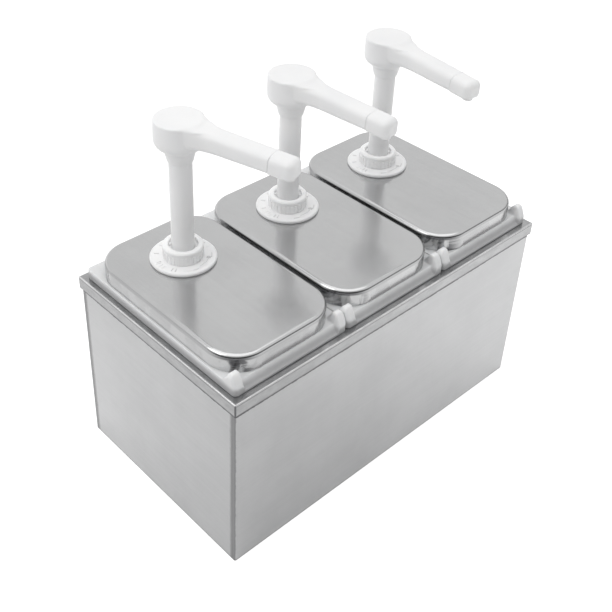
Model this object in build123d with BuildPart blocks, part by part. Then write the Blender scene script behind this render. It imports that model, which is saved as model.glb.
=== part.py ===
from build123d import *
import math
import os

os.makedirs("parts", exist_ok=True)

# ---------------------------------------------------------------- dimensions (mm)
# housing
length, width, box_height = 395.0, 222.0, 194.5   # over the rim band, height to its top
sheet = 1.0                                       # stainless gauge
band_height, band_thick = 12.6, 1.7               # folded band round the top
lip_width, lip_drop = 10.0, 9.0                   # lip that carries the containers
return_len, seam_gap = 5.0, 0.2                   # front and rear panels' return flanges
hl, hw = length / 2 - band_thick, width / 2 - band_thick   # half size of the panels' outside
panel_top = box_height - sheet

# three cells along X
cell_pitch = 128.4
cell_x = [-cell_pitch, 0.0, cell_pitch]
spout_angle = [16.0, 5.0, -4.5]                   # each spout's rest angle from straight ahead

# container
flange_x, flange_y, flange_r = 127.4, 209.0, 4.0
flange_z, flange_t = 194.6, 3.0
shoulder_y, shoulder_z = 197.8, 204.5
cove_edge_z, cove_radius = 197.0, 7.6               # hollow front edge of the flange
neck_x, neck_y, neck_r, neck_z = 120.4, 194.8, 30.2, 213.0
wall_x, wall_y, wall_r, wall_t = 115.0, 192.4, 27.0, 2.5
bottom_z, wall_draft = 20.0, 1.0
ear_in_x, ear_top = 53.2, 213.9                   # ears stand at the two front corners

# lid
lid_x, lid_y, lid_r, lid_t = 123.4, 197.0, 32.0, 0.8
lid_bottom, lid_top, lid_edge = 204.8, 222.0, 4.0
lid_hole_r = 16.9

# pump, all on its own axis
pump_y = 41.2
gasket_r, gasket_t = 28.5, 0.6
disc_r, disc_t = 30.6, 2.6
disc_z = lid_top + gasket_t
disc_top = disc_z + disc_t
thread_r, tube_r, bore_r = 16.5, 14.5, 12.5
spigot_top = 234.0
thread_bottom, floor_z, floor_t = 207.0, 92.0, 3.0
socket_out, socket_in, socket_bottom = 10.0, 7.5, 72.0
collar_r, collar_top, collar_hole = 18.2, 238.2, 13.4
bush_bore, bush_bottom, bush_flange_r = 10.5, 202.5, 16.3
rod_r, rod_bore, rod_bottom, rod_top = 10.4, 6.0, 190.3, 343.0
chamber_r, chamber_top = 8.3, 205.0
piston_r, piston_bottom, piston_top, piston_floor = 12.3, 184.0, 202.2, 190.0
wire_r, coil_r, coils = 0.8, 10.4, 9
outlet_ball_r, outlet_port = 6.5, 4.5
inlet_ball_r, inlet_port = 5.0, 3.4
valve_top, valve_bottom = 80.0, 56.0
dip_bottom, dip_out, dip_in = 28.0, 6.6, 5.0

# spout head
head_top, head_r, head_edge = 364.4, 22.3, 1.4
arm_slope = 2.3
arm_h, tip_w, tip_h = 18.6, 19.8, 16.2
reach, seam_at, tip_end = 106.5, 92.4, 114.5        # nozzle, seam, blunt end of the tip
nozzle_r, nozzle_bore, nozzle_bottom = 4.6, 3.0, 341.0


def outside_rect(x, y, r):
    """Rounded rectangle in the active sketch."""
    RectangleRounded(x, y, r)


# ---------------------------------------------------------------- housing
# front and rear panels: wide face with a short return flange on each end
for side, name in ((-1, "front_panel"), (1, "rear_panel")):
    with BuildPart() as panel:
        with BuildSketch(Plane.XY) as plan:
            with Locations((0, side * (hw - return_len / 2))):
                Rectangle(2 * hl, return_len)
            outer = plan.vertices().filter_by(lambda v: abs(v.Y) > hw - 0.01)
            fillet(outer, radius=1.6)
            with Locations((0, side * (hw - sheet - return_len / 2))):
                Rectangle(2 * (hl - sheet), return_len, mode=Mode.SUBTRACT)
        extrude(amount=panel_top)
    panel.part.label = name
    export_step(panel.part, f"parts/{name}.step")

# end panels: flat sheet between the returns, with a joggled tab behind each return
for side, name in ((-1, "left_panel"), (1, "right_panel")):
    with BuildPart() as end:
        with BuildSketch(Plane.XY):
            with Locations((side * (hl - sheet / 2), 0)):
                Rectangle(sheet, 2 * (hw - return_len - seam_gap))
        extrude(amount=panel_top)
        with BuildSketch(Plane.XY.offset(14)):
            with Locations(
                (side * (hl - 1.5 * sheet), hw - 7.0), (side * (hl - 1.5 * sheet), -hw + 7.0)
            ):
                Rectangle(sheet, 10.0)
        extrude(amount=panel_top - 30)
    end.part.label = name
    export_step(end.part, f"parts/{name}.step")

# bottom pan: flat sheet with edges turned up inside the panels
with BuildPart() as bottom_panel:
    with BuildSketch(Plane.XY):
        Rectangle(2 * (hl - sheet), 2 * (hw - sheet))
    extrude(amount=sheet)
    with BuildSketch(Plane.XY):
        Rectangle(2 * (hl - sheet), 2 * (hw - sheet))
        Rectangle(2 * (hl - 2 * sheet), 2 * (hw - 2 * sheet), mode=Mode.SUBTRACT)
        with GridLocations(2 * (hl - sheet), 2 * (hw - sheet), 2, 2):
            Rectangle(10, 10, mode=Mode.SUBTRACT)
    extrude(amount=12)
bottom_panel.part.label = "bottom_panel"
export_step(bottom_panel.part, "parts/bottom_panel.step")

# rim frame: band outside, lip inwards, turned down at its inner edge
with BuildPart() as rim_frame:
    with BuildSketch(Plane.XY.offset(box_height - band_height)):
        Rectangle(length, width)
        Rectangle(2 * hl, 2 * hw, mode=Mode.SUBTRACT)
    extrude(amount=band_height)
    with BuildSketch(Plane.XY.offset(panel_top)):
        Rectangle(length, width)
        Rectangle(length - 2 * lip_width, width - 2 * lip_width, mode=Mode.SUBTRACT)
    extrude(amount=sheet)
    with BuildSketch(Plane.XY.offset(box_height - lip_drop)):
        Rectangle(length - 2 * lip_width + 2 * sheet, width - 2 * lip_width + 2 * sheet)
        Rectangle(length - 2 * lip_width, width - 2 * lip_width, mode=Mode.SUBTRACT)
    extrude(amount=lip_drop)
    fillet(
        rim_frame.edges().filter_by(Axis.Z).filter_by(
            lambda e: abs(e.center().X) > length / 2 - 0.1
        ),
        radius=0.8,
    )
    fillet(
        rim_frame.faces().sort_by(Axis.Z)[-1].outer_wire().edges(),
        radius=0.9,
    )
rim_frame.part.label = "rim_frame"
export_step(rim_frame.part, "parts/rim_frame.step")

# ---------------------------------------------------------------- the three units
for n, (xc, angle) in enumerate(zip(cell_x, spout_angle), 1):
    axis = Axis((xc, pump_y, 0), (0, 0, 1))
    section = Plane(origin=(xc, pump_y, 0), x_dir=(1, 0, 0), z_dir=(0, -1, 0))

    # ears: each is a fin at a front corner, steep at the front and sloping down towards
    # the rear, trimmed to the flange's corner outside and to the lid's corner inside
    with BuildPart() as ears:
        with BuildSketch(
            Plane(origin=(xc - flange_x / 2, 0, 0), x_dir=(0, 1, 0), z_dir=(1, 0, 0))
        ):
            with BuildLine():
                Spline(
                    (-85.0, shoulder_z), (-89.0, 207.1), (-92.6, 210.7), (-96.6, ear_top),
                    (-100.4, 211.6), (-102.6, 206.0), (-104.2, cove_edge_z),
                    tangents=((-1.0, 0.15), (-0.25, -1.0)),
                )
                Line((-104.2, cove_edge_z), (-104.2, flange_z + 0.6))
                Line((-104.2, flange_z + 0.6), (-85.0, flange_z + 0.6))
                Line((-85.0, flange_z + 0.6), (-85.0, shoulder_z))
            make_face()
        extrude(amount=flange_x)
        with BuildSketch(Plane((xc, 0, flange_z))):
            outside_rect(flange_x - 0.2, flange_y - 0.2, flange_r)
        extrude(amount=30, mode=Mode.INTERSECT)
        with BuildSketch(Plane((xc, 0, flange_z))):
            Rectangle(2 * ear_in_x, flange_y)
        extrude(amount=30, mode=Mode.SUBTRACT)
        with BuildSketch(Plane((xc, 0, flange_z))):
            outside_rect(lid_x + 1.6, lid_y + 0.9, lid_r + 0.6)
        extrude(amount=30, mode=Mode.SUBTRACT)
    # container: tapered shell, flange on the housing's lip that is raised into a shelf
    # under the lid's skirt and hollowed along the front, neck inside the lid
    with BuildPart() as container:
        with BuildSketch(Plane((xc, 0, flange_z + flange_t))):
            outside_rect(wall_x, wall_y, wall_r)
        extrude(amount=-(flange_z + flange_t - bottom_z), taper=wall_draft)
        fillet(container.faces().sort_by(Axis.Z)[0].edges(), radius=8)
        with BuildSketch(Plane((xc, 0, flange_z))):
            outside_rect(flange_x, flange_y, flange_r)
        extrude(amount=shoulder_z - flange_z)
        fillet(container.faces().sort_by(Axis.Z)[-1].edges(), radius=0.8)
        with BuildSketch(
            Plane(origin=(xc - flange_x / 2 - 1, 0, 0), x_dir=(0, 1, 0), z_dir=(1, 0, 0))
        ):
            with BuildLine():
                RadiusArc(
                    (-shoulder_y / 2, shoulder_z + 0.01), (-flange_y / 2 - 0.01, cove_edge_z),
                    cove_radius,
                )
                Polyline(
                    (-flange_y / 2 - 0.01, cove_edge_z), (-flange_y / 2 - 3, cove_edge_z),
                    (-flange_y / 2 - 3, shoulder_z + 3), (-shoulder_y / 2, shoulder_z + 3),
                    (-shoulder_y / 2, shoulder_z + 0.01),
                )
            make_face()
        extrude(amount=flange_x + 2, mode=Mode.SUBTRACT)
        with BuildSketch(Plane((xc, 0, shoulder_z - 1))):
            outside_rect(neck_x, neck_y, neck_r)
        extrude(amount=neck_z - shoulder_z + 1)
        add(ears.part)
        # inside
        with BuildSketch(Plane((xc, 0, flange_z + flange_t))):
            outside_rect(wall_x - 2 * wall_t, wall_y - 2 * wall_t, wall_r - wall_t)
        extrude(
            amount=-(flange_z + flange_t - bottom_z - wall_t), taper=wall_draft, mode=Mode.SUBTRACT
        )
        with BuildSketch(Plane((xc, 0, flange_z + flange_t))):
            outside_rect(neck_x - 5.0, neck_y - 5.0, neck_r - 2.5)
        extrude(amount=30, mode=Mode.SUBTRACT)
    container.part.label = f"container_{n}"
    export_step(container.part, f"parts/container_{n}.step")

    # lid: deep-drawn shell with a rounded top edge and one pump hole
    with BuildPart() as lid_core:
        with BuildSketch(Plane((xc, 0, lid_bottom))):
            outside_rect(lid_x - 2 * lid_t, lid_y - 2 * lid_t, lid_r - lid_t)
        extrude(amount=lid_top - lid_t - lid_bottom)
        fillet(lid_core.faces().sort_by(Axis.Z)[-1].edges(), radius=lid_edge - lid_t)
    with BuildPart() as lid:
        with BuildSketch(Plane((xc, 0, lid_bottom))):
            outside_rect(lid_x, lid_y, lid_r)
        extrude(amount=lid_top - lid_bottom)
        fillet(lid.faces().sort_by(Axis.Z)[-1].edges(), radius=lid_edge)
        add(lid_core.part, mode=Mode.SUBTRACT)
        with BuildSketch(Plane((xc, pump_y, lid_bottom))):
            Circle(lid_hole_r)
        extrude(amount=30, mode=Mode.SUBTRACT)
    lid.part.label = f"lid_{n}"
    export_step(lid.part, f"parts/lid_{n}.step")

    # gasket between the pump's disc and the lid
    with BuildPart() as gasket:
        with BuildSketch(Plane((xc, pump_y, lid_top))):
            Circle(gasket_r)
            Circle(thread_r + 0.1, mode=Mode.SUBTRACT)
        extrude(amount=gasket_t)
    gasket.part.label = f"lid_gasket_{n}"
    export_step(gasket.part, f"parts/lid_gasket_{n}.step")

    # pump barrel: disc on the lid, threaded neck through it, tube down into the container
    with BuildPart() as barrel:
        with BuildSketch(section):
            with BuildLine():
                Polyline(
                    (bore_r, spigot_top),
                    (thread_r - 0.6, spigot_top),
                    (thread_r, spigot_top - 0.8),
                    (thread_r, disc_top),
                    (disc_r - 0.8, disc_top),
                    (disc_r, disc_top - 0.9),
                    (disc_r, disc_z + 0.3),
                    (disc_r - 0.3, disc_z),
                    (thread_r, disc_z),
                    (thread_r, thread_bottom),
                    (tube_r, thread_bottom - 2),
                    (tube_r, floor_z + 1.5),
                    (tube_r - 1.5, floor_z),
                    (socket_out, floor_z),
                    (socket_out, socket_bottom),
                    (socket_in, socket_bottom),
                    (socket_in, floor_z),
                    (4.2, floor_z),
                    (4.2, floor_z + floor_t),
                    (bore_r, floor_z + floor_t),
                    (bore_r, spigot_top),
                )
            make_face()
        revolve(axis=axis)
        # direction marks moulded on the disc: an arc, three ticks and an arrowhead
        with BuildSketch(Plane((xc, pump_y, disc_top))):
            with BuildLine():
                CenterArc((0, 0), 25.6, -128, 58)
                Line((25.6 * math.cos(math.radians(-70)), 25.6 * math.sin(math.radians(-70))),
                     (24.6 * math.cos(math.radians(-70)), 24.6 * math.sin(math.radians(-70))))
                CenterArc((0, 0), 24.6, -128, 58)
                Line((25.6 * math.cos(math.radians(-128)), 25.6 * math.sin(math.radians(-128))),
                     (24.6 * math.cos(math.radians(-128)), 24.6 * math.sin(math.radians(-128))))
            make_face()
            with PolarLocations(25.4, 3, start_angle=172, angular_range=24):
                Rectangle(4.4, 0.8)
            with Locations((25.0, -4.0)):
                Triangle(a=3.6, b=3.0, c=3.0)
        extrude(amount=0.35)
    barrel.part.label = f"pump_barrel_{n}"
    export_step(barrel.part, f"parts/pump_barrel_{n}.step")

    # nut that clamps the barrel from under the lid
    with BuildPart() as lid_nut:
        with BuildSketch(Plane((xc, pump_y, lid_top - lid_t - 7.0))):
            RegularPolygon(23.0, 8, major_radius=False)
            Circle(thread_r + 0.05, mode=Mode.SUBTRACT)
        extrude(amount=7.0)
        chamfer(lid_nut.edges().filter_by(GeomType.LINE).group_by(Axis.Z)[0], length=0.8)
    lid_nut.part.label = f"lid_nut_{n}"
    export_step(lid_nut.part, f"parts/lid_nut_{n}.step")

    # ribbed collar nut with a smooth upper lip
    with BuildPart() as collar_nut:
        with BuildSketch(section):
            with BuildLine():
                Polyline(
                    (thread_r + 0.05, disc_top),
                    (collar_r, disc_top),
                    (collar_r, collar_top - 4.0),
                    (collar_r + 0.4, collar_top - 3.6),
                    (collar_r + 0.4, collar_top - 1.2),
                    (collar_r - 0.6, collar_top),
                    (collar_hole + 0.6, collar_top),
                    (collar_hole, collar_top - 0.6),
                    (collar_hole, spigot_top + 1.2),
                    (thread_r + 0.05, spigot_top + 1.2),
                    (thread_r + 0.05, disc_top),
                )
            make_face()
        revolve(axis=axis)
        with BuildSketch(Plane((xc, pump_y, disc_top + 0.6))):
            with PolarLocations(collar_r + 0.1, 30):
                Rectangle(1.2, 1.5)
        extrude(amount=7.6)
    collar_nut.part.label = f"collar_nut_{n}"
    export_step(collar_nut.part, f"parts/collar_nut_{n}.step")

    # guide bush for the rod, its flange clamped by the collar nut, small tabs on top
    with BuildPart() as bush:
        with BuildSketch(section):
            with BuildLine():
                Polyline(
                    (bush_bore, bush_bottom),
                    (bore_r - 0.05, bush_bottom),
                    (bore_r - 0.05, spigot_top),
                    (bush_flange_r, spigot_top),
                    (bush_flange_r, spigot_top + 1.2),
                    (bush_bore + 0.3, spigot_top + 1.2),
                    (bush_bore, spigot_top + 0.8),
                    (bush_bore, bush_bottom),
                )
            make_face()
        revolve(axis=axis)
        with BuildSketch(Plane((xc, pump_y, spigot_top + 1.2))):
            with PolarLocations(12.2, 6, start_angle=15):
                Rectangle(1.4, 2.6)
        extrude(amount=1.3)
    bush.part.label = f"guide_bush_{n}"
    export_step(bush.part, f"parts/guide_bush_{n}.step")

    # piston: port with a conical seat in its floor, groove for the seal ring below
    with BuildPart() as piston:
        with BuildSketch(section):
            with BuildLine():
                Polyline(
                    (outlet_port, piston_bottom),
                    (piston_r, piston_bottom),
                    (piston_r, 186.0),
                    (10.3, 186.0),
                    (10.3, 188.4),
                    (piston_r, 188.4),
                    (piston_r, piston_top - 0.6),
                    (piston_r - 0.6, piston_top),
                    (rod_r + 0.1, piston_top),
                    (rod_r + 0.1, piston_floor),
                    (outlet_port, piston_floor),
                    (outlet_port, piston_bottom),
                )
            make_face()
        revolve(axis=axis)
    piston.part.label = f"piston_{n}"
    export_step(piston.part, f"parts/piston_{n}.step")

    # seal ring in the piston's groove
    with BuildPart() as ring:
        with BuildSketch(section):
            with Locations((11.4, 187.2)):
                Circle(1.05)
        revolve(axis=axis)
    ring.part.label = f"piston_ring_{n}"
    export_step(ring.part, f"parts/piston_ring_{n}.step")

    # return spring between the barrel's floor and the piston
    spring_low, spring_high = floor_z + floor_t + 0.1 + wire_r, piston_bottom - 0.1 - wire_r
    with BuildPart() as spring:
        with BuildLine() as coil:
            Helix(
                pitch=(spring_high - spring_low) / coils,
                height=spring_high - spring_low,
                radius=coil_r,
                center=(xc, pump_y, spring_low),
            )
        with BuildSketch(Plane(coil.line @ 0, z_dir=coil.line % 0)):
            Circle(wire_r)
        sweep(path=coil.line, is_frenet=True)
    spring.part.label = f"return_spring_{n}"
    export_step(spring.part, f"parts/return_spring_{n}.step")

    # hollow piston rod, wider at its foot for the outlet ball
    with BuildPart() as rod:
        with BuildSketch(section):
            with BuildLine():
                Polyline(
                    (chamber_r, rod_bottom),
                    (rod_r, rod_bottom),
                    (rod_r, rod_top),
                    (rod_bore, rod_top),
                    (rod_bore, chamber_top),
                    (chamber_r, chamber_top),
                    (chamber_r, rod_bottom),
                )
            make_face()
        revolve(axis=axis)
    rod.part.label = f"piston_rod_{n}"
    export_step(rod.part, f"parts/piston_rod_{n}.step")

    # check balls, each resting on its port's edge
    outlet_z = piston_floor + math.sqrt(outlet_ball_r**2 - outlet_port**2) + 0.05
    with BuildPart(Plane((xc, pump_y, outlet_z))) as outlet_ball:
        Sphere(outlet_ball_r)
    outlet_ball.part.label = f"outlet_ball_{n}"
    export_step(outlet_ball.part, f"parts/outlet_ball_{n}.step")

    inlet_z = valve_top + math.sqrt(inlet_ball_r**2 - inlet_port**2) + 0.05
    with BuildPart(Plane((xc, pump_y, inlet_z))) as inlet_ball:
        Sphere(inlet_ball_r)
    inlet_ball.part.label = f"inlet_ball_{n}"
    export_step(inlet_ball.part, f"parts/inlet_ball_{n}.step")

    # foot valve: seat for the inlet ball, stop flange and barb for the dip tube
    with BuildPart() as foot_valve:
        with BuildSketch(section):
            with BuildLine():
                Polyline(
                    (inlet_port, valve_bottom),
                    (dip_in - 0.6, valve_bottom),
                    (dip_in, valve_bottom + 2),
                    (dip_in, 69.0),
                    (socket_out, 69.0),
                    (socket_out, socket_bottom),
                    (socket_in, socket_bottom),
                    (socket_in, valve_top),
                    (inlet_port, valve_top),
                    (inlet_port, valve_bottom),
                )
            make_face()
        revolve(axis=axis)
    foot_valve.part.label = f"foot_valve_{n}"
    export_step(foot_valve.part, f"parts/foot_valve_{n}.step")

    # dip tube, cut at a slant at its foot
    with BuildPart() as dip_tube:
        with BuildSketch(Plane((xc, pump_y, dip_bottom))):
            Circle(dip_out)
            Circle(dip_in, mode=Mode.SUBTRACT)
        extrude(amount=68.8 - dip_bottom)
        with BuildSketch(section):
            with BuildLine():
                Polyline(
                    (-8, dip_bottom - 2), (8, dip_bottom - 2), (8, dip_bottom),
                    (-8, dip_bottom + 6), (-8, dip_bottom - 2),
                )
            make_face()
        extrude(amount=10, both=True, mode=Mode.SUBTRACT)
    dip_tube.part.label = f"dip_tube_{n}"
    export_step(dip_tube.part, f"parts/dip_tube_{n}.step")

    # ------------------------------------------------------------ spout head
    a, tilt = math.radians(angle), math.radians(arm_slope)
    ahead = (math.sin(a), -math.cos(a), 0)
    along = (ahead[0] * math.cos(tilt), ahead[1] * math.cos(tilt), -math.sin(tilt))
    upright = (ahead[0] * math.sin(tilt), ahead[1] * math.sin(tilt), math.cos(tilt))
    arm_top = Plane(origin=(xc, pump_y, head_top), x_dir=along, z_dir=upright)

    def arm_section(s, h):
        """Plane across the arm at distance s from the pump's axis, h below the arm's top."""
        o = [arm_top.origin.X, arm_top.origin.Y, arm_top.origin.Z]
        c = [o[i] + s * along[i] - h * upright[i] for i in range(3)]
        cross = (upright[1] * along[2] - upright[2] * along[1],
                 upright[2] * along[0] - upright[0] * along[2],
                 upright[0] * along[1] - upright[1] * along[0])
        return Plane(origin=tuple(c), x_dir=cross, z_dir=along)

    # arm: wide where it leaves the disc, then a slender rounded bar
    root = [(8.0, 37.0, arm_h), (17.0, 31.6, arm_h), (26.0, 26.0, 18.4), (34.0, 22.7, 18.2),
            (42.0, 21.2, 18.0)]
    with BuildPart() as arm:
        for s, w, h in root:
            with BuildSketch(arm_section(s, h / 2)):
                RectangleRounded(w, h, 6.0)
        loft()
        for s, w, h in (root[-1], (seam_at, 20.3, 16.8)):
            with BuildSketch(arm_section(s, h / 2)):
                RectangleRounded(w, h, 6.0)
        loft(ruled=True)

    with BuildPart() as head:
        with BuildSketch(section):
            with BuildLine():
                Polyline((0, rod_top), (0, head_top), (head_r - head_edge, head_top))
                ThreePointArc(
                    (head_r - head_edge, head_top), (head_r - 0.29 * head_edge, head_top - 0.29 * head_edge),
                    (head_r, head_top - head_edge)
                )
                Line((head_r, head_top - head_edge), (head_r + 0.3, 346.9))
                Spline(
                    (head_r + 0.3, 346.9), (19.0, 338.8), (13.9, 333.9),
                    tangents=((0, -1), (-0.25, -1)),
                )
                Polyline((13.9, 333.9), (11.7, 324.9), (11.2, 324.4), (rod_r + 0.05, 324.4),
                         (rod_r + 0.05, rod_top), (0, rod_top))
            make_face()
        revolve(axis=axis)
        add(arm.part)
        # passages: up from the rod, then along the arm to the tip's socket
        with BuildSketch(Plane((xc, pump_y, rod_top))):
            Circle(rod_bore)
        extrude(amount=12.5, mode=Mode.SUBTRACT)
        with BuildSketch(arm_section(2.0, 8.4)):
            Circle(4.0)
        extrude(amount=seam_at + 4, mode=Mode.SUBTRACT)
        with BuildSketch(arm_section(seam_at - 10.0, 8.4)):
            Circle(5.4)
        extrude(amount=14, mode=Mode.SUBTRACT)
    head.part.label = f"spout_head_{n}"
    export_step(head.part, f"parts/spout_head_{n}.step")

    # tip: elbow with a blunt, round-cornered end and a short nozzle pointing down
    with BuildPart() as tip:
        with BuildSketch(arm_top) as outline:
            with Locations(((seam_at + 0.05 + tip_end) / 2, 0)):
                Rectangle(tip_end - seam_at - 0.05, tip_w)
            fillet(outline.vertices().filter_by(lambda v: v.X > tip_end - 0.1), radius=6.4)
        extrude(amount=-tip_h)
        fillet(
            tip.edges().filter_by(lambda e: abs(arm_top.to_local_coords(e.center()).Z) < 0.1
                                  and arm_top.to_local_coords(e.center()).X > seam_at + 0.3),
            radius=6.0,
        )
        fillet(
            tip.edges().filter_by(lambda e: abs(arm_top.to_local_coords(e.center()).Z + tip_h) < 0.1
                                  and arm_top.to_local_coords(e.center()).X > seam_at + 0.3),
            radius=3.0,
        )
        with BuildSketch(Plane((xc + reach * ahead[0], pump_y + reach * ahead[1], nozzle_bottom))):
            Circle(nozzle_r)
        extrude(amount=8)
        with BuildSketch(arm_section(seam_at - 9.6, 8.4)):
            Circle(5.35)
        extrude(amount=12)
        with BuildSketch(arm_section(seam_at - 9.6, 8.4)):
            Circle(3.2)
        extrude(amount=reach - seam_at + 9.6, mode=Mode.SUBTRACT)
        with BuildSketch(Plane((xc + reach * ahead[0], pump_y + reach * ahead[1], nozzle_bottom))):
            Circle(nozzle_bore)
        extrude(amount=9, mode=Mode.SUBTRACT)
    tip.part.label = f"spout_tip_{n}"
    export_step(tip.part, f"parts/spout_tip_{n}.step")
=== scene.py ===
"""Looks for the three-well condiment pump dispenser: white moulded pumps, bright
pressed lids, milky containers and a satin sheet-steel housing, on a pale floor."""

import math

import bmesh
import bpy
import numpy as np
from mathutils import Matrix, Vector


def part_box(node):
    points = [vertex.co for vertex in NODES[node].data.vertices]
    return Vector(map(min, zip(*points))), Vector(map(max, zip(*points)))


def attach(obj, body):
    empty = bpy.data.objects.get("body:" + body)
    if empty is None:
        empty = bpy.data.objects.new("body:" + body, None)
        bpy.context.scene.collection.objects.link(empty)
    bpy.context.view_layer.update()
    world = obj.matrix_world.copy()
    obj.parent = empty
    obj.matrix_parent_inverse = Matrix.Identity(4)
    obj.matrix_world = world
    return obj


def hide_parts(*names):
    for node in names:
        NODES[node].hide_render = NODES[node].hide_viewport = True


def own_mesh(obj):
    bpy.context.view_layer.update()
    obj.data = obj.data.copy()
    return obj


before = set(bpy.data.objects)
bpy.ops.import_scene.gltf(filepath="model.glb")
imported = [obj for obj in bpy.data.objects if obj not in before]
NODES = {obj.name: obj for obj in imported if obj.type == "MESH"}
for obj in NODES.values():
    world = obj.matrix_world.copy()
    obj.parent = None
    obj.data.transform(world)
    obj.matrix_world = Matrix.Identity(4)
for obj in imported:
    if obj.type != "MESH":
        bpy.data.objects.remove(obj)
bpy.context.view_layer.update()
MM = 0.001

CELLS = (-128.4, 0.0, 128.4)
PUMP_Y = 41.2
ANGLES = (16.0, 5.0, -4.5)


# ------------------------------------------------------------------ node helpers
class Tree:
    """A short way to write a node tree."""

    def __init__(self, tree):
        self.tree = tree
        self.n = 0

    def add(self, kind, values=None, **props):
        node = self.tree.nodes.new(kind)
        node.location = (-180 * self.n, 0)
        self.n += 1
        for key, value in props.items():
            setattr(node, key, value)
        for key, value in (values or {}).items():
            if hasattr(value, "is_output"):
                self.tree.links.new(value, node.inputs[key])
            else:
                node.inputs[key].default_value = value
        return node

    def link(self, a, b):
        self.tree.links.new(a, b)

    def math(self, op, a, b=None, c=None, clamp=False):
        values = {0: a}
        if b is not None:
            values[1] = b
        if c is not None:
            values[2] = c
        return self.add("ShaderNodeMath", values, operation=op, use_clamp=clamp).outputs[0]

    def noise(self, vector, scale, detail=3.0, rough=0.5):
        return self.add(
            "ShaderNodeTexNoise",
            {"Vector": vector, "Scale": scale, "Detail": detail, "Roughness": rough},
        ).outputs["Fac"]

    def mapped(self, vector, scale, location=(0, 0, 0)):
        return self.add(
            "ShaderNodeMapping", {"Vector": vector, "Scale": scale, "Location": location}
        ).outputs[0]

    def span(self, value, low, high, out_low, out_high):
        return self.add(
            "ShaderNodeMapRange",
            {"Value": value, "From Min": low, "From Max": high, "To Min": out_low, "To Max": out_high},
            interpolation_type="SMOOTHSTEP",
        ).outputs[0]

    def tint(self, fac, dark, light):
        return self.add(
            "ShaderNodeMix",
            {"Factor": fac, 6: (*dark, 1.0), 7: (*light, 1.0)},
            data_type="RGBA",
        ).outputs[2]


def material(name):
    mat = bpy.data.materials.new(name)
    mat.use_nodes = True
    mat.node_tree.nodes.clear()
    t = Tree(mat.node_tree)
    out = t.add("ShaderNodeOutputMaterial")
    bsdf = t.add("ShaderNodeBsdfPrincipled")
    t.link(bsdf.outputs[0], out.inputs[0])
    here = t.add("ShaderNodeTexCoord").outputs["Object"]
    return mat, t, bsdf, here


def sheet_steel(name, grain, dark, light, rough, rough_spread, streak, cloud=9.0, dents=0.0, shade_lines_at=()):
    """Rolled stainless sheet: long fine grain lines, cloudy mill finish, faint rub marks, and painted shade along given
    folds and edges.
    """
    mat, t, bsdf, here = material(name)
    long_way = [1500.0] * 3
    long_way[grain] = 14.0
    fine = t.noise(t.mapped(here, long_way), 1.0, 2.0, 0.55)
    mid_way = [420.0] * 3
    mid_way[grain] = 5.0
    lines = t.noise(t.mapped(here, mid_way, (3.1, 1.7, 0.4)), 1.0, 4.0, 0.6)
    clouds = t.noise(here, cloud, 5.0, 0.62)
    smears = t.noise(t.mapped(here, (31, 23, 17), (9, 2, 5)), 1.0, 6.0, 0.7)
    mixed = t.math("ADD", t.math("MULTIPLY", clouds, 0.50), t.math("MULTIPLY", smears, 0.30))
    mixed = t.math("ADD", mixed, t.math("MULTIPLY", lines, 0.20))
    colour = t.tint(t.span(mixed, 0.34, 0.66, 0.0, 1.0), dark, light)
    if shade_lines_at:
        # painted shade where shade falls in the folds and along the edges: under the rim band's foot, down the corners,
        # along the bottom: (axis, place, reach, how much)
        apart = t.add("ShaderNodeSeparateXYZ", {0: here}).outputs
        painted_shade = None
        ragged = t.noise(t.mapped(here, (160, 160, 160), (5, 5, 5)), 1.0, 4.0, 0.7)
        for axis, place, reach, amount in shade_lines_at:
            away = t.math("ABSOLUTE", t.math("SUBTRACT", t.math("ABSOLUTE", apart[axis]), place))
            away = t.math("MULTIPLY", away, t.span(ragged, 0.3, 0.7, 0.75, 1.35))
            shade_here = t.span(away, reach * 0.35, reach, amount, 0.0)
            painted_shade = shade_here if painted_shade is None else t.math("MAXIMUM", painted_shade, shade_here)
        colour = t.add(
            "ShaderNodeMix", {"Factor": painted_shade, 6: colour, 7: (0.06, 0.06, 0.065, 1.0)}, data_type="RGBA"
        ).outputs[2]
    t.link(colour, bsdf.inputs["Base Color"])
    bsdf.inputs["Metallic"].default_value = 1.0
    wear = t.math("ADD", t.math("MULTIPLY", smears, 0.6), t.math("MULTIPLY", fine, 0.4))
    t.link(t.span(wear, 0.3, 0.7, rough - rough_spread, rough + rough_spread), bsdf.inputs["Roughness"])
    height = t.math("ADD", t.math("MULTIPLY", fine, 0.5), t.math("MULTIPLY", lines, 0.5))
    bump = t.add(
        "ShaderNodeBump", {"Strength": streak, "Distance": 0.00002, "Height": height}
    )
    last = bump
    if dents:
        waves = t.noise(t.mapped(here, (7, 7, 9), (2, 8, 1)), 1.0, 1.0, 0.4)
        last = t.add(
            "ShaderNodeBump",
            {"Strength": 1.0, "Distance": dents, "Height": waves, "Normal": bump.outputs[0]},
        )
    t.link(last.outputs[0], bsdf.inputs["Normal"])
    return mat


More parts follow.
